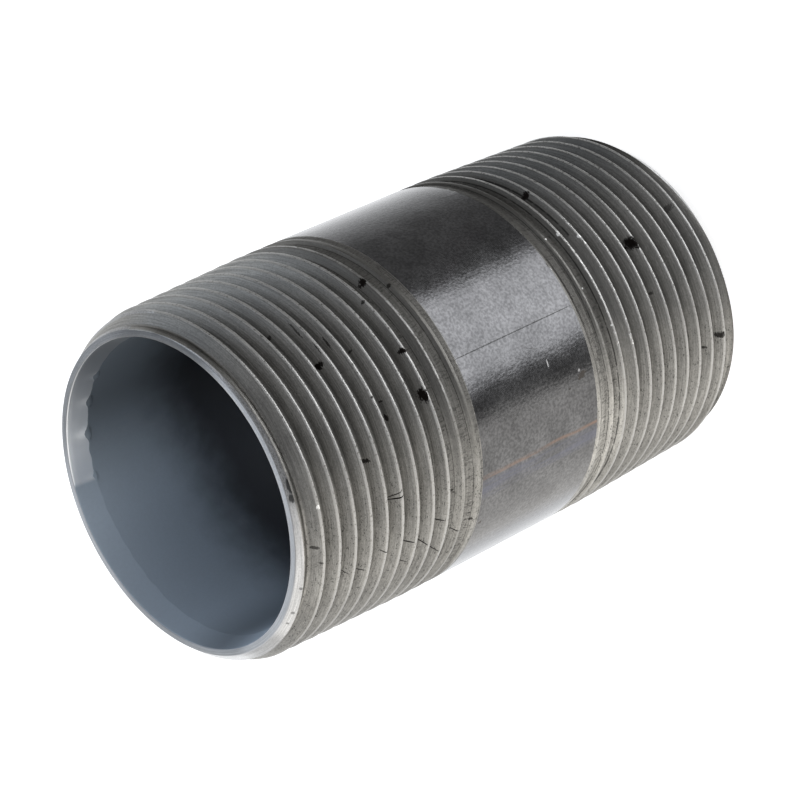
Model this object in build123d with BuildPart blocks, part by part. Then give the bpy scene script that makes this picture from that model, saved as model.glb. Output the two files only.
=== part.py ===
"""A pipe nipple: a short length of steel pipe with a taper thread cut on each end.

It stands on one end. Its axis is Z, and the lower end face lies at Z = 0.
All sizes are in millimetres.
"""

import os
from math import ceil

from build123d import *

# The pipe
overall_length = 72.0
pipe_diameter = 42.4
wall_thickness = 3.6

# The taper thread, the same on both ends
thread_pitch = 2.309
thread_depth = 1.479  # from the crests to the rounded bottoms of the grooves
bottom_rounding = 0.19  # height of that rounding, which a plain V leaves filled
thread_length = 26.5  # from the end face to where the grooves have faded out
runout_length = 6.7  # the last stretch of it, along which they fade
gauge_length = 12.7  # from the end face to the gauge plane
gauge_undersize = 0.49  # how far the diameter over the crests there is under the pipe's own
thread_taper = 1 / 16  # growth of the diameter along the axis
first_root = 1.3  # from the end face to the bottom of the first groove

# The ends
bevel_width = 2.25  # from the pipe's surface in to the flat end face
bevel_slope = 1.0  # radius gained for each millimetre along the axis
ream_width = 0.6  # from the bore's surface out to the flat end face
ream_depth = 2.8  # from the end face to the plain bore

pipe_radius = pipe_diameter / 2
bore_radius = pipe_radius - wall_thickness
face_radius = pipe_radius - bevel_width
mouth_radius = bore_radius + ream_width
middle = overall_length / 2
gauge_diameter = pipe_diameter - gauge_undersize
groove_full_depth = thread_depth - bottom_rounding
taper_end = gauge_length + gauge_undersize / thread_taper
bevel_height = bevel_width / bevel_slope
groove_count = ceil((thread_length - first_root) / thread_pitch)


def crest_radius(height):
    """Radius over the crests at a height above the end face, which stops at the pipe's own."""
    on_taper = (gauge_diameter + (height - gauge_length) * thread_taper) / 2
    return min(on_taper, pipe_radius)


def groove_share(height):
    """How much of its full depth a groove has: all of it, then less along the run-out."""
    return min((thread_length - height) / runout_length, 1.0)


# Half of the wall's section is drawn from the lower end face up, and mirrored for the upper end.
# Each groove is a V. Neighbours meet in a sharp crest, and along the run-out the pipe shows between.
with BuildPart() as pipe_nipple:
    with BuildSketch(Plane.XZ) as wall_section:
        with BuildLine() as blank:
            Polyline(
                (bore_radius, ream_depth),
                (mouth_radius, 0),
                (crest_radius(0), 0),
                (pipe_radius, taper_end),
                (pipe_radius, middle),
                (bore_radius, middle),
                close=True,
            )
        make_face()

        for number in range(groove_count):
            root_height = first_root + number * thread_pitch
            share = groove_share(root_height)
            lower_edge = root_height - share * thread_pitch / 2
            upper_edge = root_height + share * thread_pitch / 2
            root_radius = crest_radius(root_height) - share * groove_full_depth
            with BuildLine() as groove:
                Polyline(
                    (crest_radius(lower_edge), lower_edge),
                    (root_radius, root_height),
                    (crest_radius(upper_edge), upper_edge),
                    (pipe_radius + groove_full_depth, root_height),
                    close=True,
                )
            make_face(mode=Mode.SUBTRACT)

        with BuildLine() as bevel:
            Polyline((face_radius, 0), (pipe_radius, bevel_height), (pipe_radius, 0), close=True)
        make_face(mode=Mode.SUBTRACT)

        mirror(about=Plane.XZ.offset(-middle))
    revolve(axis=Axis.Z)

pipe_nipple.part.label = "pipe_nipple"

os.makedirs("parts", exist_ok=True)
export_step(pipe_nipple.part, "parts/pipe_nipple.step")

print("grooves on each end:", groove_count)
print("volume in cubic centimetres:", round(pipe_nipple.part.volume / 1000, 2))
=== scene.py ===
"""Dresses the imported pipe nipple: its true helical threads, its finishes, and the studio round it."""

from math import cos, pi, radians, sin, tan

import bmesh
import bpy
import numpy as np
from mathutils import Matrix, Vector


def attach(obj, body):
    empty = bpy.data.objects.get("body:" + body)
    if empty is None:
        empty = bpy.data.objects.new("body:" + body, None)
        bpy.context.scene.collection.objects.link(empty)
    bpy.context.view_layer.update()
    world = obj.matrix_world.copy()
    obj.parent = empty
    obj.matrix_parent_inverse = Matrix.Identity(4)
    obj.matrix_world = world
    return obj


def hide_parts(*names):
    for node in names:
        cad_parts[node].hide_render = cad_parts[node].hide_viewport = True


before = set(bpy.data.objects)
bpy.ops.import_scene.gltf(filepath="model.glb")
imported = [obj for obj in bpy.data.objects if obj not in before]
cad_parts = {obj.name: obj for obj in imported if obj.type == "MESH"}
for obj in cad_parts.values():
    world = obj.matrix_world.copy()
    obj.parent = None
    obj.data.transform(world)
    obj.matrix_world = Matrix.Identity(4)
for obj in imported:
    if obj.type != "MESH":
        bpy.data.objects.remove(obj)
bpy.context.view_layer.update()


# The camera stands where the photograph was taken from, and is rolled as it was.
# Its place and turn come from fitting the pipe's rims and silhouettes.

camera_lens = bpy.data.cameras.new("camera")
camera_lens.sensor_width = 36.0
camera_lens.lens = 145.52
camera_lens.clip_start = 0.01
camera_lens.clip_end = 50.0
camera = bpy.data.objects.new("camera", camera_lens)
camera_right = Vector((-0.247369, -0.66836, -0.7015))
camera_up = Vector((0.943084, 0.0, -0.332553))
camera_back = Vector((0.222264, -0.743836, 0.630322))
turn = Matrix((camera_right, camera_up, camera_back)).transposed()
camera.matrix_world = Matrix.Translation((0.08207, -0.27878, 0.27367)) @ turn.to_4x4()
bpy.context.scene.collection.objects.link(camera)
bpy.context.scene.camera = camera
bpy.context.scene.view_settings.view_transform = "Standard"


# The studio is a white tent with a soft box low in front, a bright wall on the left, and black cards above
# and in front. The world stands for it, and each card and light is a smooth window in direction.


def feed(tree, socket, value):
    """Gives an input socket its value, or joins it to the socket that brings it."""
    if isinstance(value, bpy.types.NodeSocket):
        tree.links.new(value, socket)
    else:
        socket.default_value = value


def sum_of(tree, operation, *values, clamp=False):
    """A Math node's result."""
    node = tree.nodes.new("ShaderNodeMath")
    node.operation = operation
    node.use_clamp = clamp
    for socket, value in zip(node.inputs, values):
        feed(tree, socket, value)
    return node.outputs[0]


def ramp(tree, value, low, high):
    """0 where the value is at or below low, 1 at or above high, and a smooth step between."""
    node = tree.nodes.new("ShaderNodeMapRange")
    node.interpolation_type = "SMOOTHSTEP"
    feed(tree, node.inputs["Value"], value)
    feed(tree, node.inputs["From Min"], low)
    feed(tree, node.inputs["From Max"], high)
    return node.outputs["Result"]


def blend(tree, share, first, second):
    """The first colour where the share is 0, and the second where it is 1."""
    node = tree.nodes.new("ShaderNodeMix")
    node.data_type = "RGBA"
    colours = {socket.name: socket for socket in node.inputs if socket.type == "RGBA"}
    feed(tree, node.inputs["Factor"], share)
    feed(tree, colours["A"], first)
    feed(tree, colours["B"], second)
    return [socket for socket in node.outputs if socket.type == "RGBA"][0]


def new_group(name, inputs, outputs):
    """A node group with named float or colour sockets: the group, its inputs and its output's sockets."""
    group = bpy.data.node_groups.new(name, "ShaderNodeTree")
    kinds = {"f": "NodeSocketFloat", "c": "NodeSocketColor"}
    for label, kind in inputs:
        group.interface.new_socket(label, in_out="INPUT", socket_type=kinds[kind])
    for label, kind in outputs:
        group.interface.new_socket(label, in_out="OUTPUT", socket_type=kinds[kind])
    return group, group.nodes.new("NodeGroupInput").outputs, group.nodes.new("NodeGroupOutput").inputs


def place_group(tree, group, **values):
    """Puts a group in a node tree with its inputs given by name, underscores standing for spaces."""
    node = tree.nodes.new("ShaderNodeGroup")
    node.node_tree = group
    for name, value in values.items():
        feed(tree, node.inputs[name.replace("_", " ")], value)
    return node.outputs


panel, panel_in, panel_out = new_group(
    "window in direction",
    [("Middle", "f"), ("Half Width", "f"), ("Edge", "f"), ("Bottom", "f"), ("Top", "f"), ("Fade", "f")],
    [("Share", "f")],
)
swing = panel.nodes.new("ShaderNodeVectorRotate")
swing.rotation_type = "Z_AXIS"
feed(panel, swing.inputs["Vector"], panel.nodes.new("ShaderNodeTexCoord").outputs["Generated"])
feed(panel, swing.inputs["Angle"], sum_of(panel, "MULTIPLY", panel_in["Middle"], -pi / 180))
swung = panel.nodes.new("ShaderNodeSeparateXYZ")
feed(panel, swung.inputs[0], swing.outputs[0])
off_middle = sum_of(panel, "ARCTAN2", swung.outputs["Y"], swung.outputs["X"])
off_middle = sum_of(panel, "MULTIPLY", sum_of(panel, "ABSOLUTE", off_middle), 180 / pi)
inner_edge = sum_of(panel, "SUBTRACT", panel_in["Half Width"], panel_in["Edge"])
outer_edge = sum_of(panel, "ADD", panel_in["Half Width"], panel_in["Edge"])
inside = sum_of(panel, "SUBTRACT", 1.0, ramp(panel, off_middle, inner_edge, outer_edge))
elevation = sum_of(panel, "MULTIPLY", sum_of(panel, "ARCSINE", swung.outputs["Z"]), 180 / pi)
bottom_low = sum_of(panel, "SUBTRACT", panel_in["Bottom"], panel_in["Fade"])
bottom_high = sum_of(panel, "ADD", panel_in["Bottom"], panel_in["Fade"])
top_low = sum_of(panel, "SUBTRACT", panel_in["Top"], panel_in["Fade"])
top_high = sum_of(panel, "ADD", panel_in["Top"], panel_in["Fade"])
above = ramp(panel, elevation, bottom_low, bottom_high)
below = sum_of(panel, "SUBTRACT", 1.0, ramp(panel, elevation, top_low, top_high))
feed(panel, panel_out["Share"], sum_of(panel, "MULTIPLY", inside, sum_of(panel, "MULTIPLY", above, below)))

# middle and half width in degrees round from +X, edge, bottom and top above the horizon, fade, and colour
tent_panels = [
    ("black cards in front", -30, 250, 1, -120, 120, 1, (0.25, 0.25, 0.25)),
    ("dim ceiling", -30, 250, 1, 8, 120, 10, (0.42, 0.43, 0.45)),
    ("back of the tent", 128, 70, 36, -90, 48, 13, (1.42, 1.44, 1.47)),
    ("bright wall", -160.8, 46.2, 5, -90, 46, 16, (1.48, 1.45, 1.4)),
    ("soft box", -60.5, 30.5, 5, -57, -24, 6, (2.75, 2.78, 2.85)),
    ("cool gap at the back", 70, 45, 25, 22, 60, 10, (0.8, 0.9, 1.04)),
]
world = bpy.data.worlds.new("light tent")
bpy.context.scene.world = world
world.use_nodes = True
sky = world.node_tree
sky.nodes.clear()
glow = (1, 1, 1, 1)
for _, middle, half, edge, bottom, top, fade, colour in tent_panels:
    share = place_group(
        sky, panel, Middle=middle, Half_Width=half, Edge=edge, Bottom=bottom, Top=top, Fade=fade
    )["Share"]
    glow = blend(sky, share, glow, (*colour, 1))
seen = sky.nodes.new("ShaderNodeLightPath").outputs["Is Camera Ray"]
tent_light = sky.nodes.new("ShaderNodeBackground")
feed(sky, tent_light.inputs["Color"], blend(sky, seen, glow, (1, 1, 1, 1)))
feed(sky, sky.nodes.new("ShaderNodeOutputWorld").inputs["Surface"], tent_light.outputs[0])

# The floor is a plain white sheet. It catches the nipple's shadow, and lets the tent's light through.
floor_half = 4.0
floor_mesh = bpy.data.meshes.new("floor")
floor_corners = [(-1, -1), (1, -1), (1, 1), (-1, 1)]
floor_points = [(x * floor_half, y * floor_half, -0.00004) for x, y in floor_corners]
floor_mesh.from_pydata(floor_points, [], [(0, 1, 2, 3)])
floor = bpy.data.objects.new("floor", floor_mesh)
floor.visible_glossy = False
floor.visible_diffuse = False
floor.visible_shadow = False
bpy.context.scene.collection.objects.link(floor)
paper = bpy.data.materials.new("white paper")
paper.use_nodes = True
paper_nodes = paper.node_tree
paper_shader = paper_nodes.nodes["Principled BSDF"]
paper_shader.inputs["Base Color"].default_value = (0.85, 0.85, 0.85, 1)
paper_shader.inputs["Roughness"].default_value = 0.9
paper_shader.inputs["Specular IOR Level"].default_value = 0.0
paper_shader.inputs["Emission Color"].default_value = (1, 1, 1, 1)
paper_seen = paper_nodes.nodes.new("ShaderNodeLightPath").outputs
seen = sum_of(paper_nodes, "MAXIMUM", paper_seen["Is Camera Ray"], paper_seen["Is Glossy Ray"])
seen = sum_of(paper_nodes, "MAXIMUM", seen, paper_seen["Is Transmission Ray"])
feed(paper_nodes, paper_shader.inputs["Emission Strength"], sum_of(paper_nodes, "MULTIPLY", seen, 0.72))
floor_mesh.materials.append(paper)


# The nipple is cut from welded steel pipe. A die cuts a right-hand taper thread of 55 degree form on each
# end, and leaves it to run out where its lead chamfer stops. All sizes here are in millimetres.

overall_length = 72.0
pipe_radius = 21.2
bore_radius = 17.6
thread_pitch = 2.309
thread_depth = 0.640327 * thread_pitch
thread_rounding = 0.137329 * thread_pitch
half_thread_angle = radians(27.5)
gauge_radius = 20.955
gauge_length = 12.7
taper_slope = 1 / 32
thread_length = 26.5
runout_start = 19.6
runout_end = 26.3
face_radius = 18.95
mouth_radius = 18.2
ream_depth = 2.8
steps_round = 360
millimetre = 0.001


def crest_cone(height):
    """Radius of the cone that the crests lie on: the gauge radius, growing 1 in 32 with the height."""
    return gauge_radius + (height - gauge_length) * taper_slope


def runout_cone(height):
    """Radius that the die's lead chamfer cuts down to: from the groove bottoms straight out to the pipe."""
    start = crest_cone(runout_start) - thread_depth
    return start + (height - runout_start) * (pipe_radius - start) / (runout_end - runout_start)


def groove_depth(from_crest):
    """Depth under the crest cone at a distance along the axis from the nearest crest.

    It is a circle's arc over the crest, a straight flank after it, and the same arc turned over at the root.
    """
    near = np.minimum(from_crest, thread_pitch / 2 - from_crest)
    touch = thread_rounding * cos(half_thread_angle)
    arc = thread_rounding - np.sqrt(np.maximum(thread_rounding**2 - near**2, 0.0))
    flank = thread_rounding * (1 - sin(half_thread_angle)) + (near - touch) / tan(half_thread_angle)
    depth = np.where(near < touch, arc, flank)
    return np.where(from_crest < thread_pitch / 4, depth, thread_depth - depth)


def wavy(round_share, along, waves, seed):
    """A smooth uneven field from about -1 to 1: a sum of slanted sine waves, closed round the pipe.

    Each wave has a whole number of turns round and a random slant and phase, drawn from the seed.
    """
    draw = np.random.default_rng(seed)
    total = np.zeros(np.broadcast(round_share, along).shape)
    low, high, slowest, fastest = waves
    count = 18
    for turns, rate, phase in zip(
        draw.integers(low, high + 1, count),
        draw.uniform(slowest, fastest, count) * draw.choice([-1, 1], count),
        draw.uniform(0, 2 * pi, count),
    ):
        total = total + np.sin(2 * pi * turns * round_share + rate * along + phase)
    return total / np.sqrt(count / 2) / 2


def arc_share(degrees, first, last, soft):
    """1 between two angles in degrees and 0 outside them, with a smooth step of the given width at each."""
    middle = (first + last) / 2
    off = np.abs((degrees - middle + 180) % 360 - 180)
    step = np.clip(((last - first) / 2 + soft / 2 - off) / soft, 0, 1)
    return step * step * (3 - 2 * step)


def threaded_end(crest_start, bevel_slope, seed):
    """One end's outside in its own frame: a grid of turn share, height, radius, depth and chamfer share.

    Its rows follow the helix, so that crests, flank edges and roots each lie on a row. The last column is the
    first one moved on by one pitch. Rows are held at the end face and at the end of the thread.
    """
    touch = thread_rounding * cos(half_thread_angle)
    root_touch = thread_pitch / 2 - touch
    row_places = np.array([-1.0, -0.94, -0.88, -0.12, -0.06, 0.0, 0.06, 0.12, 0.88, 0.94])
    crests = np.arange(-2, int(thread_length / thread_pitch) + 2)
    column = np.arange(steps_round + 1)[:, None] / steps_round
    crest = (crest_start + thread_pitch * (crests[:, None] + 0 * row_places)).ravel()[None, :]
    place = np.tile(row_places, len(crests))[None, :]
    crest_height = crest + thread_pitch * column
    # where the lead chamfer cuts off the groove, its flanks end nearer to the crest
    cut = crest_cone(crest_height) - runout_cone(crest_height)
    flank_end = np.interp(cut, [0.17, thread_depth - 0.17], [touch * 1.05, root_touch])
    size = np.abs(place)
    spread = np.where(
        size <= 0.12,
        size / 0.12 * touch,
        np.where(
            size <= 0.88,
            touch + (size - 0.12) / 0.76 * (flank_end - touch),
            thread_pitch / 2 - (1 - size) / 0.12 * (thread_pitch / 2 - flank_end),
        ),
    )
    from_crest = np.clip(spread, 0, thread_pitch / 2)
    height = crest_height + np.sign(place) * spread
    height = np.where(height < 0.04, 0.0, np.where(height > thread_length - 0.04, thread_length, height))
    nearest = np.abs((height - crest_height + thread_pitch / 2) % thread_pitch - thread_pitch / 2)
    from_crest = np.where((height <= 0) | (height >= thread_length), nearest, from_crest)
    uneven = 0.012 * wavy(column, height, (20, 90, 0.5, 5.0), seed)
    nicks = np.maximum(wavy(column, height, (60, 140, 2.0, 9.0), seed + 1) - 0.7, 0) * (from_crest < 0.2)
    uneven = uneven - 0.05 * nicks
    grooved = crest_cone(height) - groove_depth(from_crest)
    chamfer = runout_cone(height)
    inner_share = np.clip((thread_length - height) / 1.5, 0, 1)
    radius = np.minimum(np.maximum(grooved, chamfer) + uneven * inner_share, pipe_radius)
    bevel = face_radius + height * bevel_slope[:, None]
    chamfer_share = np.where((chamfer > grooved) & (height < thread_length), 1.0, 0.0)
    depth_share = np.clip((crest_cone(height) - radius) / thread_depth, 0, 1)
    return column, height, np.minimum(radius, bevel), depth_share, chamfer_share


def to_corners(turn, height, radius):
    """Points from cylinder coordinates: turn is a share of one turn from +X, counter-clockwise from above."""
    turn, height, radius = np.broadcast_arrays(2 * pi * turn, height, radius)
    return np.stack([radius * np.cos(turn), radius * np.sin(turn), height], -1)


def quads_of(rounds, rows, start):
    """Corner numbers of a grid's squares, whose points are counted down each column from start."""
    first = start + np.arange(rounds - 1)[:, None] * rows + np.arange(rows - 1)[None, :]
    return np.stack([first, first + rows, first + rows + 1, first + 1], -1).reshape(-1, 4)


# The bevels were ground by hand: flatter on one side, as the outline shows.
patches = []
degrees = 360 * np.arange(steps_round + 1) / steps_round
lower_bevel = 1 - 0.38 * arc_share(degrees, -60, 22, 40) + 0.3 * arc_share(degrees, -155, -95, 30)
turn_share, height, radius, depth_share, chamfer_share = threaded_end(1.466, lower_bevel, 11)
patches.append((to_corners(turn_share, height, radius), depth_share, chamfer_share))
upper_bevel = 1 - 0.42 * arc_share(degrees, 0, 75, 50) - 0.15 * arc_share(degrees, 145, 190, 30)
turn_share, height, radius, depth_share, chamfer_share = threaded_end(1.988, upper_bevel[::-1], 23)
patches.append((to_corners(-turn_share, overall_length - height, radius), depth_share, chamfer_share))

ring_turn = np.arange(steps_round + 1)[:, None] / steps_round
barrel_height = np.linspace(thread_length, overall_length - thread_length, 9)[None, :]
barrel_corners = to_corners(ring_turn, barrel_height, pipe_radius)
patches.append((barrel_corners, 0, 0))

# the reamer leaves an uneven edge in the bore, with small burrs on it
ream_wobble = 0.3 * wavy(ring_turn, 0.0, (1, 7, 0.1, 0.2), 5)
ream_wobble = ream_wobble + 0.08 * wavy(ring_turn, 0.0, (20, 60, 0.1, 0.2), 6)
ream_end = ream_depth + ream_wobble
burr = np.zeros(ring_turn.shape)
burr_places = [(43, 1.3, 1), (56, 1.6, 1), (70, 1.8, 1), (14, 1.0, 0.7), (87, 1, 0.5)]
for burr_degrees, burr_half, burr_size in burr_places:
    off = (degrees - burr_degrees + 180) % 360 - 180
    burr = burr + (burr_size * np.exp(-((off / burr_half) ** 2)))[:, None]
ream_share = np.array([0.06, 0.3, 0.6, 0.85, 0.97, 1.0])[None, :]
edge_share = np.array([0.0, 0.0, 0.2, 0.7, 1.0, 0.8])[None, :]
ream_radius = mouth_radius + ream_share * (bore_radius - mouth_radius) - 0.28 * burr * edge_share
ream_drop = ream_share * ream_end + 0.25 * burr * edge_share
face_rows = np.array([18.95, 18.9, 18.6, 18.27, 18.215])[None, :]
face_drop = np.array([0.0, 0.0, 0.0, 0.0, 0.015])[None, :]
in_radius = np.concatenate([face_rows + 0 * ring_turn, ream_radius], 1)
in_drop = np.concatenate([face_drop + 0 * ring_turn, ream_drop], 1)
bore_rows = np.array([0.0012, 0.008, *np.linspace(0.08, 0.92, 11), 0.992, 0.9988])[None, :]
bore_height = (overall_length - ream_end) + bore_rows * (2 * ream_end - overall_length)
inside_height = np.concatenate([overall_length - in_drop, bore_height, in_drop[:, ::-1]], 1)
inside_radius = np.concatenate([in_radius, np.full(bore_height.shape, bore_radius), in_radius[:, ::-1]], 1)
patches.append((to_corners(ring_turn, inside_height, inside_radius), 0, 0))

points = []
squares = []
depths = []
chamfers = []
count = 0
for corners, depth_share, chamfer_share in patches:
    rounds, rows = corners.shape[:2]
    squares.append(quads_of(rounds, rows, count))
    points.append(corners.reshape(-1, 3))
    depths.append(np.broadcast_to(depth_share, (rounds, rows)).ravel())
    chamfers.append(np.broadcast_to(chamfer_share, (rounds, rows)).ravel())
    count += rounds * rows
points = np.concatenate(points) * millimetre
squares = np.concatenate(squares)
# rows that were held at an end lie on each other, and their squares have no area
corner_points = points[squares]
one_way = np.linalg.norm(corner_points[:, 0] - corner_points[:, 3], axis=1)
other_way = np.linalg.norm(corner_points[:, 1] - corner_points[:, 2], axis=1)
squares = squares[np.maximum(one_way, other_way) > 1e-7]

nipple_mesh = bpy.data.meshes.new("pipe_nipple_cut")
nipple_mesh.from_pydata(points, [], squares)
for label, values in (("groove depth", depths), ("chamfer cut", chamfers)):
    layer = nipple_mesh.attributes.new(label, "FLOAT", "POINT")
    layer.data.foreach_set("value", np.concatenate(values).astype(np.float32))
welding = bmesh.new()
welding.from_mesh(nipple_mesh)
bmesh.ops.remove_doubles(welding, verts=welding.verts, dist=2e-6)
welding.to_mesh(nipple_mesh)
welding.free()
nipple_mesh.shade_smooth()
nipple = bpy.data.objects.new("nipple", nipple_mesh)
bpy.context.scene.collection.objects.link(nipple)
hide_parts("pipe_nipple")
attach(nipple, "root")

# Where a point lies on the pipe: its angle from +X in degrees, its height, its distance from the nearer end
# and from the axis, all in millimetres.
pipe_place, place_in, place_out = new_group(
    "place on the pipe", [], [("Angle", "f"), ("Height", "f"), ("From End", "f"), ("From Axis", "f")]
)
axes = pipe_place.nodes.new("ShaderNodeSeparateXYZ")
feed(pipe_place, axes.inputs[0], pipe_place.nodes.new("ShaderNodeTexCoord").outputs["Object"])
angle = sum_of(pipe_place, "ARCTAN2", axes.outputs["Y"], axes.outputs["X"])
feed(pipe_place, place_out["Angle"], sum_of(pipe_place, "MULTIPLY", angle, 180 / pi))
tall = sum_of(pipe_place, "MULTIPLY", axes.outputs["Z"], 1000.0)
feed(pipe_place, place_out["Height"], tall)
from_middle = sum_of(pipe_place, "ABSOLUTE", sum_of(pipe_place, "SUBTRACT", tall, overall_length / 2))
feed(pipe_place, place_out["From End"], sum_of(pipe_place, "SUBTRACT", overall_length / 2, from_middle))
squared = sum_of(pipe_place, "MULTIPLY", axes.outputs["X"], axes.outputs["X"])
squared = sum_of(pipe_place, "MULTIPLY_ADD", axes.outputs["Y"], axes.outputs["Y"], squared)
from_axis = sum_of(pipe_place, "MULTIPLY", sum_of(pipe_place, "SQRT", squared), 1000.0)
feed(pipe_place, place_out["From Axis"], from_axis)

# Grain in the steel: noise with a size in millimetres round the pipe and another along its wall. A small
# size along and a large one round gives turning lines, and the other way about gives streaks and chatter.
grain, grain_in, grain_out = new_group(
    "grain", [("Round", "f"), ("Along", "f"), ("Detail", "f")], [("Value", "f")]
)
axes = grain.nodes.new("ShaderNodeSeparateXYZ")
feed(grain, axes.inputs[0], grain.nodes.new("ShaderNodeTexCoord").outputs["Object"])
wall = sum_of(grain, "MULTIPLY_ADD", place_group(grain, pipe_place)["From Axis"], -0.0017, axes.outputs["Z"])
spot = grain.nodes.new("ShaderNodeCombineXYZ")
grain_sizes = (grain_in["Round"], grain_in["Round"], grain_in["Along"])
for socket, source, size in zip(spot.inputs, (axes.outputs["X"], axes.outputs["Y"], wall), grain_sizes):
    feed(grain, socket, sum_of(grain, "DIVIDE", sum_of(grain, "MULTIPLY", source, 1000.0), size))
cloud = grain.nodes.new("ShaderNodeTexNoise")
cloud.inputs["Scale"].default_value = 1.0
feed(grain, cloud.inputs["Vector"], spot.outputs[0])
feed(grain, cloud.inputs["Detail"], grain_in["Detail"])
feed(grain, grain_out["Value"], cloud.outputs["Fac"])

# One ragged mark at an angle and a height, with half its size round and along in millimetres, and a slant.
mark, mark_in, mark_out = new_group(
    "mark",
    [(name, "f") for name in ("Angle", "Height", "Ragged", "At", "Up", "Half Round", "Half Along", "Slant")],
    [("Share", "f")],
)
along = sum_of(mark, "SUBTRACT", mark_in["Height"], mark_in["Up"])
turned = sum_of(mark, "MULTIPLY", sum_of(mark, "SUBTRACT", mark_in["Angle"], mark_in["At"]), pi / 180 * 20.6)
turned = sum_of(mark, "SUBTRACT", turned, sum_of(mark, "MULTIPLY", along, mark_in["Slant"]))
turned = sum_of(mark, "DIVIDE", turned, mark_in["Half Round"])
along = sum_of(mark, "DIVIDE", along, mark_in["Half Along"])
reach = sum_of(mark, "MULTIPLY_ADD", turned, turned, sum_of(mark, "MULTIPLY", along, along))
reach = sum_of(mark, "MULTIPLY_ADD", mark_in["Ragged"], 3.0, sum_of(mark, "SUBTRACT", reach, 1.5))
feed(mark, mark_out["Share"], sum_of(mark, "SUBTRACT", 1.0, ramp(mark, reach, 0.5, 1.3)))


def new_finish(name):
    """A material with its node tree and shader."""
    finish = bpy.data.materials.new(name)
    finish.use_nodes = True
    nipple_mesh.materials.append(finish)
    return finish.node_tree, finish.node_tree.nodes["Principled BSDF"]


def noise(tree, round_size, along_size, detail=2.0):
    """The grain group's value at these sizes in millimetres."""
    return place_group(tree, grain, Round=round_size, Along=along_size, Detail=detail)["Value"]


def marks_of(tree, place, ragged, marks):
    """How far a point lies under these marks: (height, angle, half round, half along, slant, share)."""
    total = 0.0
    for up, at, half_round, half_along, slant, strength in marks:
        share = place_group(
            tree,
            mark,
            Angle=place["Angle"],
            Height=place["Height"],
            Ragged=ragged,
            At=-at,
            Up=up,
            Half_Round=half_round,
            Half_Along=half_along,
            Slant=slant,
        )["Share"]
        total = sum_of(tree, "MAXIMUM", total, sum_of(tree, "MULTIPLY", share, strength))
    return total


def darken(tree, colour, amount):
    """A colour times a number that changes over the surface."""
    node = tree.nodes.new("ShaderNodeVectorMath")
    node.operation = "SCALE"
    feed(tree, node.inputs[0], colour)
    feed(tree, node.inputs["Scale"], amount)
    return node.outputs[0]


def mix_value(tree, share, first, second):
    """The first number where the share is 0, and the second where it is 1."""
    change = sum_of(tree, "SUBTRACT", second, first)
    return sum_of(tree, "MULTIPLY_ADD", share, change, first)


def between(tree, value, low, high, soft):
    """1 where the value lies between low and high, and 0 outside, over soft steps."""
    up = ramp(tree, value, low - soft, low + soft)
    down = ramp(tree, value, high - soft, high + soft)
    return sum_of(tree, "SUBTRACT", up, down, clamp=True)


def read_layer(tree, name):
    """A number kept at the mesh's points."""
    node = tree.nodes.new("ShaderNodeAttribute")
    node.attribute_name = name
    return node.outputs["Fac"]


def bump(tree, height, strength, distance, under=None):
    """A bump of a height from 0 to 1 that stands a distance in metres, over another bump."""
    node = tree.nodes.new("ShaderNodeBump")
    node.inputs["Strength"].default_value = strength
    node.inputs["Distance"].default_value = distance
    feed(tree, node.inputs["Height"], height)
    if under is not None:
        feed(tree, node.inputs["Normal"], under)
    return node.outputs[0]


# Black lacquer on the plain barrel: glossy, with a fine grain, a scribed line, the welded seam's heat tint
# and a few smudges.
nodes, shader = new_finish("black lacquer")
place = place_group(nodes, pipe_place)
fine = noise(nodes, 0.32, 0.32, 3.0)
cloudy = noise(nodes, 3.2, 3.2, 3.0)
streaks = noise(nodes, 0.5, 9.0, 3.0)
scribed = marks_of(
    nodes, place, 0.5, [(36.1, 72.7, 0.055, 9.6, 0.0, 0.8), (34.6, 79.5, 0.05, 0.9, 0.4, 0.35)]
)
bare = marks_of(nodes, place, fine, [(33.1, 85.9, 0.5, 0.09, 0.0, 0.8), (28.7, 92.0, 0.16, 0.2, 0.0, 0.5)])
brown = marks_of(
    nodes,
    place,
    fine,
    [
        (28.37, 93.7, 0.38, 0.75, -0.3, 0.9),
        (30.64, 96.3, 0.15, 0.22, 0.0, 0.7),
        (26.3, 58.4, 0.35, 0.3, 0.0, 1.0),
        (44.9, 128.0, 0.2, 0.3, 0.0, 0.7),
    ],
)
tilt = sum_of(nodes, "MULTIPLY_ADD", sum_of(nodes, "SUBTRACT", cloudy, 0.5), 1.2, place["Angle"])
streaky = ramp(nodes, streaks, 0.3, 0.65)
orange = sum_of(nodes, "MULTIPLY", between(nodes, tilt, -111.6, -110.4, 0.5), streaky)
violet = sum_of(nodes, "MULTIPLY", between(nodes, tilt, -118.0, -112.6, 1.6), streaky)
mottle = sum_of(nodes, "MULTIPLY_ADD", ramp(nodes, fine, 0.3, 0.7), 0.5, 0.75)
patchy = sum_of(nodes, "MULTIPLY_ADD", ramp(nodes, cloudy, 0.25, 0.75), 0.3, 0.85)
mottle = sum_of(nodes, "MULTIPLY", mottle, patchy)
lacquer = darken(nodes, (0.122, 0.122, 0.125), mottle)
lacquer = blend(nodes, sum_of(nodes, "MULTIPLY", orange, 0.8), lacquer, (0.23, 0.155, 0.12, 1))
lacquer = blend(nodes, sum_of(nodes, "MULTIPLY", violet, 0.6), lacquer, (0.125, 0.13, 0.17, 1))
lacquer = blend(nodes, brown, lacquer, (0.04, 0.03, 0.022, 1))
lacquer = blend(nodes, bare, lacquer, (0.7, 0.7, 0.7, 1))
feed(nodes, shader.inputs["Base Color"], lacquer)
spoiled = sum_of(nodes, "MAXIMUM", bare, brown)
feed(nodes, shader.inputs["Metallic"], sum_of(nodes, "SUBTRACT", 1.0, spoiled))
rough = sum_of(nodes, "MULTIPLY_ADD", cloudy, 0.12, 0.11)
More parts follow.
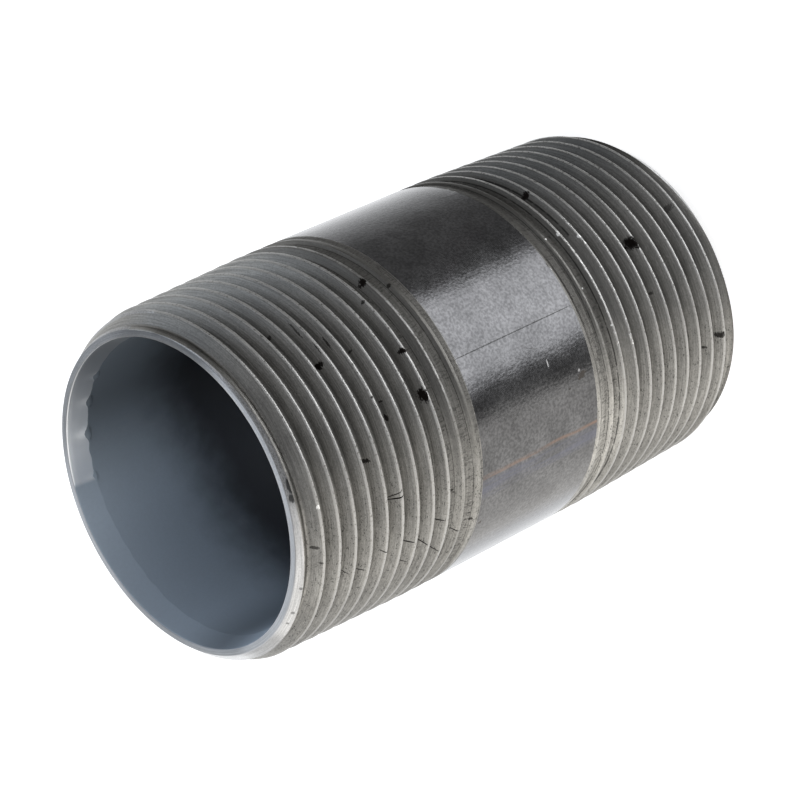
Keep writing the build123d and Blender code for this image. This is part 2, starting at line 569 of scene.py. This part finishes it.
rough = sum_of(nodes, "MULTIPLY_ADD", fine, 0.06, rough)
rough = sum_of(nodes, "MULTIPLY_ADD", sum_of(nodes, "MAXIMUM", spoiled, scribed), 0.4, rough)
feed(nodes, shader.inputs["Roughness"], rough)
relief = bump(nodes, fine, 0.5, 0.00003)
relief = bump(nodes, streaks, 0.14, 0.00006, relief)
relief = bump(nodes, sum_of(nodes, "SUBTRACT", 1.0, scribed), 0.8, 0.00005, relief)
feed(nodes, shader.inputs["Normal"], relief)

# The thread is bare cut steel under a film of oil: bright along the crests, darker towards the groove bottoms
# and dark with chatter where it runs out.
nodes, shader = new_finish("cut thread")
place = place_group(nodes, pipe_place)
depth = read_layer(nodes, "groove depth")
chamfered = read_layer(nodes, "chamfer cut")
grit = noise(nodes, 0.26, 0.26, 2.0)
coarse = noise(nodes, 0.9, 0.9, 3.0)
cloudy = noise(nodes, 4.0, 4.0, 3.0)
turning = ramp(nodes, noise(nodes, 6.0, 0.2, 2.0), 0.3, 0.7)
chatter = noise(nodes, 0.2, 1.6, 2.0)
facing = sum_of(nodes, "MULTIPLY", place["Angle"], -1.0)
# each side fades out before 180 degrees, where the angle starts again
lit_side = sum_of(nodes, "SUBTRACT", ramp(nodes, facing, 70.0, 112.0), ramp(nodes, facing, 152.0, 180.0))
dark_side = sum_of(nodes, "MULTIPLY", ramp(nodes, facing, 60.0, 10.0), ramp(nodes, facing, -179.0, -140.0))
# painted shade: the thread is made darker from 132 to 168 degrees round
painted_shade_band = between(nodes, facing, 132.0, 168.0, 9.0)
# the thread is made darker from 14 to 84 degrees round
darker_arc = between(nodes, facing, 14.0, 84.0, 12.0)
low_end = ramp(nodes, place["Height"], 40.0, 20.0)
shader.inputs["Metallic"].default_value = 1.0
# the flank's colour darkens from the crest to the groove bottom
flank = blend(nodes, ramp(nodes, depth, 0.05, 0.85), (0.33, 0.322, 0.302, 1), (0.27, 0.263, 0.247, 1))
tone = sum_of(nodes, "MULTIPLY_ADD", cloudy, 0.5, 0.75)
tone = sum_of(nodes, "MULTIPLY", tone, sum_of(nodes, "MULTIPLY_ADD", turning, 0.36, 0.82))
tone = sum_of(nodes, "MULTIPLY", tone, sum_of(nodes, "MULTIPLY_ADD", ramp(nodes, grit, 0.3, 0.7), 0.36, 0.82))
tone = sum_of(nodes, "MULTIPLY", tone, sum_of(nodes, "MULTIPLY_ADD", darker_arc, -0.22, 1.0))
tone = sum_of(nodes, "MULTIPLY", tone, sum_of(nodes, "MULTIPLY_ADD", painted_shade_band, -0.24, 1.0))
shaded = sum_of(nodes, "MULTIPLY", low_end, dark_side)
tone = sum_of(nodes, "MULTIPLY", tone, sum_of(nodes, "MULTIPLY_ADD", shaded, -0.6, 1.0))
specks = sum_of(nodes, "MULTIPLY", ramp(nodes, grit, 0.54, 0.62), ramp(nodes, coarse, 0.4, 0.55))
specks = sum_of(nodes, "MULTIPLY", specks, sum_of(nodes, "MULTIPLY_ADD", lit_side, 0.55, 0.15))
tone = sum_of(nodes, "MULTIPLY", tone, sum_of(nodes, "SUBTRACT", 1.0, specks))
flank = darken(nodes, flank, tone)
# the run-out is dulled darker, less so on the lit side: dull steel with painted light
dull_and_painted_light = sum_of(nodes, "MULTIPLY", ramp(nodes, place["From End"], 19.0, 22.0), 0.55)
dull_and_painted_light = sum_of(nodes, "MULTIPLY", dull_and_painted_light, sum_of(nodes, "MULTIPLY_ADD", lit_side, -0.9, 1.0))
flank = blend(nodes, dull_and_painted_light, flank, (0.085, 0.082, 0.075, 1))
# painted light: the lower end's run-out is made half again as bright on its lit side
painted_light_low_end = sum_of(nodes, "MULTIPLY", low_end, ramp(nodes, place["From End"], 20.0, 22.5))
painted_light_low_end = sum_of(nodes, "MULTIPLY", painted_light_low_end, lit_side)
flank = darken(nodes, flank, sum_of(nodes, "MULTIPLY_ADD", painted_light_low_end, 0.5, 1.0))
line_share = sum_of(nodes, "MULTIPLY_ADD", lit_side, 0.1, 0.3)
lines = sum_of(nodes, "MULTIPLY", ramp(nodes, chatter, 0.52, 0.62), line_share)
flank = darken(nodes, flank, sum_of(nodes, "SUBTRACT", 1.0, sum_of(nodes, "MULTIPLY", lines, chamfered)))
hairline = between(nodes, chamfered, 0.44, 0.6, 0.06)
hairline = sum_of(nodes, "MULTIPLY", hairline, ramp(nodes, coarse, 0.3, 0.45))
flank = darken(nodes, flank, sum_of(nodes, "MULTIPLY_ADD", hairline, -0.75, 1.0))
crest_edge = sum_of(nodes, "MULTIPLY_ADD", coarse, -0.06, depth)
worn = sum_of(nodes, "SUBTRACT", 1.0, ramp(nodes, crest_edge, 0.0, 0.05))
worn = sum_of(nodes, "MULTIPLY", worn, ramp(nodes, grit, 0.30, 0.46))
# the worn crests are bright bare steel; on the lit side and from 132 to 168 degrees they are made darker as
# painted shade
worn_crest_painted_shade = sum_of(nodes, "MULTIPLY_ADD", lit_side, -0.16, 1.0)
worn_crest_painted_shade = sum_of(nodes, "MULTIPLY_ADD", painted_shade_band, -0.2, worn_crest_painted_shade)
flank = blend(nodes, worn, flank, darken(nodes, (0.52, 0.515, 0.5), worn_crest_painted_shade))
# bright torn spots on the lower run-out, kept to the side that faces the soft box: torn steel with painted
# glints
torn_with_painted_glints = sum_of(nodes, "MULTIPLY", worn, ramp(nodes, noise(nodes, 0.5, 0.5, 2.0), 0.58, 0.64))
torn_with_painted_glints = sum_of(nodes, "MULTIPLY", torn_with_painted_glints, between(nodes, facing, 44.0, 96.0, 6.0))
torn_with_painted_glints = sum_of(nodes, "MULTIPLY", torn_with_painted_glints, between(nodes, place["Height"], 18.6, 24.6, 0.8))
flank = blend(nodes, torn_with_painted_glints, flank, (0.95, 0.95, 0.93, 1))
ragged = sum_of(nodes, "MULTIPLY_ADD", coarse, 0.7, -0.3)
ragged = sum_of(nodes, "MULTIPLY_ADD", grit, 0.9, ragged)
smudges = marks_of(
    nodes,
    place,
    ragged,
    [
        (61.19, 56.3, 0.42, 0.3, 0.0, 1.0),
        (51.28, 63.7, 0.35, 0.4, 0.0, 1.0),
        (49.28, 37.8, 0.45, 0.35, 0.0, 1.0),
        (51.48, 44.5, 0.22, 0.18, 0.0, 0.8),
        (56.6, 56.4, 0.16, 0.16, 0.0, 0.7),
        (61.08, 89.5, 0.28, 0.35, 0.0, 0.9),
        (63.66, 40.1, 0.28, 0.16, 0.0, 0.7),
        (46.99, 42.9, 0.25, 0.25, 0.0, 0.8),
        (58.07, 72.4, 0.16, 0.14, 0.0, 0.8),
        (56.43, 74.6, 0.14, 0.12, 0.0, 0.8),
        (51.38, 78.4, 0.85, 0.35, 0.15, 1.0),
        (56.48, 80.0, 0.4, 0.13, 0.6, 0.9),
        (60.94, 42.8, 1.2, 0.06, 0.0, 0.7),
        (60.67, 51.9, 0.8, 0.05, 0.0, 0.8),
        (58.7, 50.9, 0.9, 0.06, 0.0, 0.8),
        (69.97, 108.6, 0.2, 0.28, 0.0, 0.7),
        (69.57, 113.7, 0.16, 0.16, 0.0, 0.6),
        (49.68, 111.4, 0.2, 0.3, 0.0, 0.8),
        (46.63, 124.6, 0.2, 0.3, 0.0, 0.8),
        (12.96, 62.8, 0.85, 0.6, 0.3, 1.0),
        (20.2, 31.0, 0.4, 0.35, 0.0, 1.0),
        (4.05, 56.7, 0.5, 0.4, 0.0, 0.5),
        (3.49, 104.3, 0.42, 0.4, 0.0, 0.9),
        (6.05, 106.7, 0.2, 0.18, 0.0, 0.8),
        (13.21, 80.4, 0.24, 0.16, 0.0, 0.7),
        (6.06, 19.0, 0.35, 0.25, 0.0, 0.6),
    ],
)
tears = marks_of(
    nodes,
    place,
    sum_of(nodes, "MULTIPLY_ADD", coarse, 0.3, 0.35),
    [
        (57.9, 104.0, 0.08, 1.3, -0.45, 1.0),
        (58.4, 103.4, 0.06, 0.8, -0.9, 0.9),
        (60.17, 120.6, 0.07, 0.4, 0.5, 0.9),
        (56.03, 123.0, 0.09, 0.5, -0.4, 0.9),
        (53.64, 125.8, 0.08, 0.45, 0.6, 0.9),
        (51.52, 120.2, 0.09, 0.5, -0.3, 0.9),
        (51.22, 131.9, 0.08, 0.4, 0.3, 0.8),
        (56.02, 131.4, 0.07, 0.4, -0.5, 0.8),
        (48.78, 126.5, 0.08, 0.5, 0.3, 0.8),
        (65.31, 123.3, 0.06, 0.35, 0.5, 0.8),
        (62.96, 125.5, 0.07, 0.35, -0.5, 0.8),
    ],
)
glints = marks_of(
    nodes,
    place,
    grit,
    [
        (22.08, 50.6, 0.24, 0.22, 0.0, 1.0),
        (19.71, 54.0, 0.24, 0.2, 0.0, 1.0),
        (24.15, 50.5, 0.13, 0.15, 0.0, 1.0),
        (21.76, 57.6, 0.14, 0.14, 0.0, 1.0),
        (23.23, 69.3, 0.15, 0.14, 0.0, 1.0),
        (21.85, 83.7, 0.13, 0.13, 0.0, 1.0),
        (69.43, 95.2, 0.25, 0.25, 0.0, 1.0),
    ],
)
dark = sum_of(nodes, "MAXIMUM", smudges, tears)
flank = blend(nodes, dark, flank, (0.012, 0.010, 0.009, 1))
flank = blend(nodes, glints, flank, (0.95, 0.95, 0.93, 1))
feed(nodes, shader.inputs["Base Color"], flank)
rough = sum_of(nodes, "MULTIPLY_ADD", cloudy, 0.2, 0.34)
rough = sum_of(nodes, "MULTIPLY_ADD", sum_of(nodes, "MAXIMUM", dark, chamfered), 0.15, rough)
feed(nodes, shader.inputs["Roughness"], rough)
relief = bump(nodes, grit, 0.4, 0.00003)
relief = bump(nodes, turning, 0.25, 0.00003, relief)
relief = bump(nodes, sum_of(nodes, "MULTIPLY", chatter, chamfered), 0.5, 0.00009, relief)
relief = bump(nodes, sum_of(nodes, "SUBTRACT", 1.0, tears), 0.8, 0.00012, relief)
feed(nodes, shader.inputs["Normal"], relief)

# The end face and its bevel were turned bright. The bevel is mottled where the black was not cleaned off.
nodes, shader = new_finish("turned end")
place = place_group(nodes, pipe_place)
grit = noise(nodes, 0.2, 0.2, 3.0)
coarse = noise(nodes, 0.8, 0.8, 3.0)
turning = noise(nodes, 5.0, 0.16, 2.0)
facing = sum_of(nodes, "MULTIPLY", place["Angle"], -1.0)
shader.inputs["Metallic"].default_value = 1.0
on_bevel = ramp(nodes, place["From Axis"], face_radius, face_radius + 0.1)
mottled = between(nodes, facing, -40.0, 91.0, 5.0)
# painted shade: the end ring is made darker over some angles round the pipe and at the back
ring_painted_shade = between(nodes, facing, -75.0, 42.0, 12.0)
round_back = sum_of(nodes, "ABSOLUTE", facing)
ring_back_painted_shade = between(nodes, facing, -175.0, -130.0, 6.0)
ring_back_painted_shade = sum_of(nodes, "MAXIMUM", ring_back_painted_shade, ramp(nodes, round_back, 160.0, 172.0))
ring_shade_tone = sum_of(nodes, "MULTIPLY_ADD", ring_painted_shade, -0.42, 1.0)
ring_shade_tone = sum_of(nodes, "MULTIPLY_ADD", between(nodes, facing, -8.0, 42.0, 10.0), -0.26, ring_shade_tone)
ring_shade_tone = sum_of(nodes, "MULTIPLY_ADD", ring_back_painted_shade, -0.27, ring_shade_tone)
# painted highlights and painted shade: the bevel is made lighter or darker by its angle round the pipe
painted_highlight = sum_of(nodes, "ADD", between(nodes, facing, 91.0, 146.0, 5.0), ramp(nodes, round_back, 160.0, 172.0))
bevel_light_and_shade = sum_of(nodes, "MULTIPLY_ADD", painted_highlight, 0.5, 0.8)
bevel_light_and_shade = sum_of(nodes, "MULTIPLY_ADD", between(nodes, facing, 6.0, 48.0, 8.0), 0.8, bevel_light_and_shade)
bevel_light_and_shade = sum_of(nodes, "MULTIPLY_ADD", between(nodes, facing, -78.0, -42.0, 6.0), -0.36, bevel_light_and_shade)
bevel_light_and_shade = sum_of(nodes, "MULTIPLY_ADD", between(nodes, facing, -135.0, -105.0, 6.0), 0.45, bevel_light_and_shade)
end_tone = mix_value(nodes, on_bevel, ring_shade_tone, bevel_light_and_shade)
turned_lines = sum_of(nodes, "MULTIPLY_ADD", ramp(nodes, turning, 0.3, 0.7), 0.3, 0.85)
end_tone = sum_of(nodes, "MULTIPLY", end_tone, turned_lines)
grime = sum_of(nodes, "MULTIPLY_ADD", mottled, 0.3, 0.15)
grime = sum_of(nodes, "MULTIPLY", grime, ramp(nodes, grit, 0.45, 0.62))
grime = sum_of(nodes, "MULTIPLY", grime, sum_of(nodes, "MULTIPLY_ADD", on_bevel, 0.55, 0.45))
end_tone = sum_of(nodes, "MULTIPLY", end_tone, sum_of(nodes, "SUBTRACT", 1.0, grime))
end_steel = darken(nodes, (0.44, 0.44, 0.44), end_tone)
smudges = marks_of(
    nodes,
    place,
    coarse,
    [
        (71.43, 86.4, 0.9, 0.35, 0.0, 0.85),
        (71.63, 90.4, 0.5, 0.3, 0.0, 0.85),
        (71.4, 122.5, 0.2, 0.16, 0.0, 0.6),
        (71.5, 133.3, 0.22, 0.16, 0.0, 0.6),
        (71.5, 138.8, 0.18, 0.16, 0.0, 0.6),
        (71.2, 20.0, 0.4, 0.2, 0.0, 0.5),
        (71.3, 52.0, 0.5, 0.25, 0.0, 0.5),
    ],
)
end_steel = blend(nodes, smudges, end_steel, (0.03, 0.03, 0.03, 1))
feed(nodes, shader.inputs["Base Color"], end_steel)
feed(nodes, shader.inputs["Roughness"], sum_of(nodes, "MULTIPLY_ADD", coarse, 0.25, 0.26))
relief = bump(nodes, grit, 0.35, 0.00003)
relief = bump(nodes, turning, 0.35, 0.00003, relief)
feed(nodes, shader.inputs["Normal"], relief)

# Inside, a blue-grey primer covers the bore and most of the reamed mouth. Its colour is light at the mouth
# and dark deeper in, as painted light and shade, and the reamer left part of the mouth bright.
nodes, shader = new_finish("bore primer")
place = place_group(nodes, pipe_place)
cloudy = noise(nodes, 2.5, 2.5, 3.0)
fine = noise(nodes, 0.3, 0.3, 3.0)
scuffs = noise(nodes, 0.12, 2.0, 3.0)
facing = sum_of(nodes, "MULTIPLY", place["Angle"], -1.0)
# painted shade: the bore is made darker from -80 to 60 degrees round, and its colour turns dark sooner there
painted_shade_side = between(nodes, facing, -80.0, 60.0, 26.0)
# painted light and shade: the primer is light near the mouth and dark deeper in
shade_depth = sum_of(nodes, "MULTIPLY_ADD", cloudy, 3.0, place["From End"])
shade_depth = sum_of(nodes, "MULTIPLY_ADD", painted_shade_side, 4.0, shade_depth)
primer = blend(nodes, ramp(nodes, shade_depth, 13.0, 24.0), (0.47, 0.555, 0.65, 1), (0.07, 0.078, 0.093, 1))
tone = sum_of(nodes, "MULTIPLY_ADD", fine, 0.12, 0.94)
tone = sum_of(nodes, "MULTIPLY", tone, sum_of(nodes, "MULTIPLY_ADD", painted_shade_side, -0.8, 1.0))
back = ramp(nodes, sum_of(nodes, "ABSOLUTE", facing), 182.0, 155.0)
tone = sum_of(nodes, "MULTIPLY", tone, sum_of(nodes, "MULTIPLY_ADD", back, 0.5, 0.5))
primer = darken(nodes, primer, tone)
cut_edge = ramp(nodes, place["From Axis"], bore_radius + 0.012, bore_radius + 0.03)
bared = between(nodes, facing, -88.0, -5.0, 1.2)
bared = sum_of(nodes, "MULTIPLY", sum_of(nodes, "MULTIPLY", bared, cut_edge), 0.95)
bright = sum_of(nodes, "MULTIPLY_ADD", ramp(nodes, facing, -80.0, -30.0), -0.6, 1.0)
primer = blend(nodes, bared, primer, darken(nodes, (0.94, 0.96, 0.98), bright))
feed(nodes, shader.inputs["Base Color"], primer)
feed(nodes, shader.inputs["Metallic"], bared)
feed(nodes, shader.inputs["Roughness"], sum_of(nodes, "MULTIPLY_ADD", fine, 0.1, 0.38))
relief = bump(nodes, fine, 0.15, 0.00002)
relief = bump(nodes, ramp(nodes, scuffs, 0.66, 0.72), 0.2, 0.00002, relief)
feed(nodes, shader.inputs["Normal"], relief)

centres = np.zeros(len(nipple_mesh.polygons) * 3)
nipple_mesh.polygons.foreach_get("center", centres)
centres = centres.reshape(-1, 3) / millimetre
centre_radius = np.hypot(centres[:, 0], centres[:, 1])
from_end = np.minimum(centres[:, 2], overall_length - centres[:, 2])
centre_degrees = np.degrees(np.arctan2(centres[:, 1], centres[:, 0]))
slopes = np.where(
    centres[:, 2] < overall_length / 2,
    np.interp(centre_degrees % 360, degrees, lower_bevel),
    np.interp(centre_degrees % 360, degrees, upper_bevel),
)
kind = np.where(from_end < thread_length, 1, 0)
kind = np.where(np.abs(centre_radius - face_radius - from_end * slopes) < 0.06, 2, kind)
kind = np.where(from_end < 0.01, 2, kind)
kind = np.where(centre_radius < mouth_radius + 0.012, 3, kind)
nipple_mesh.polygons.foreach_set("material_index", kind.astype(np.int32))
nipple_mesh.update()
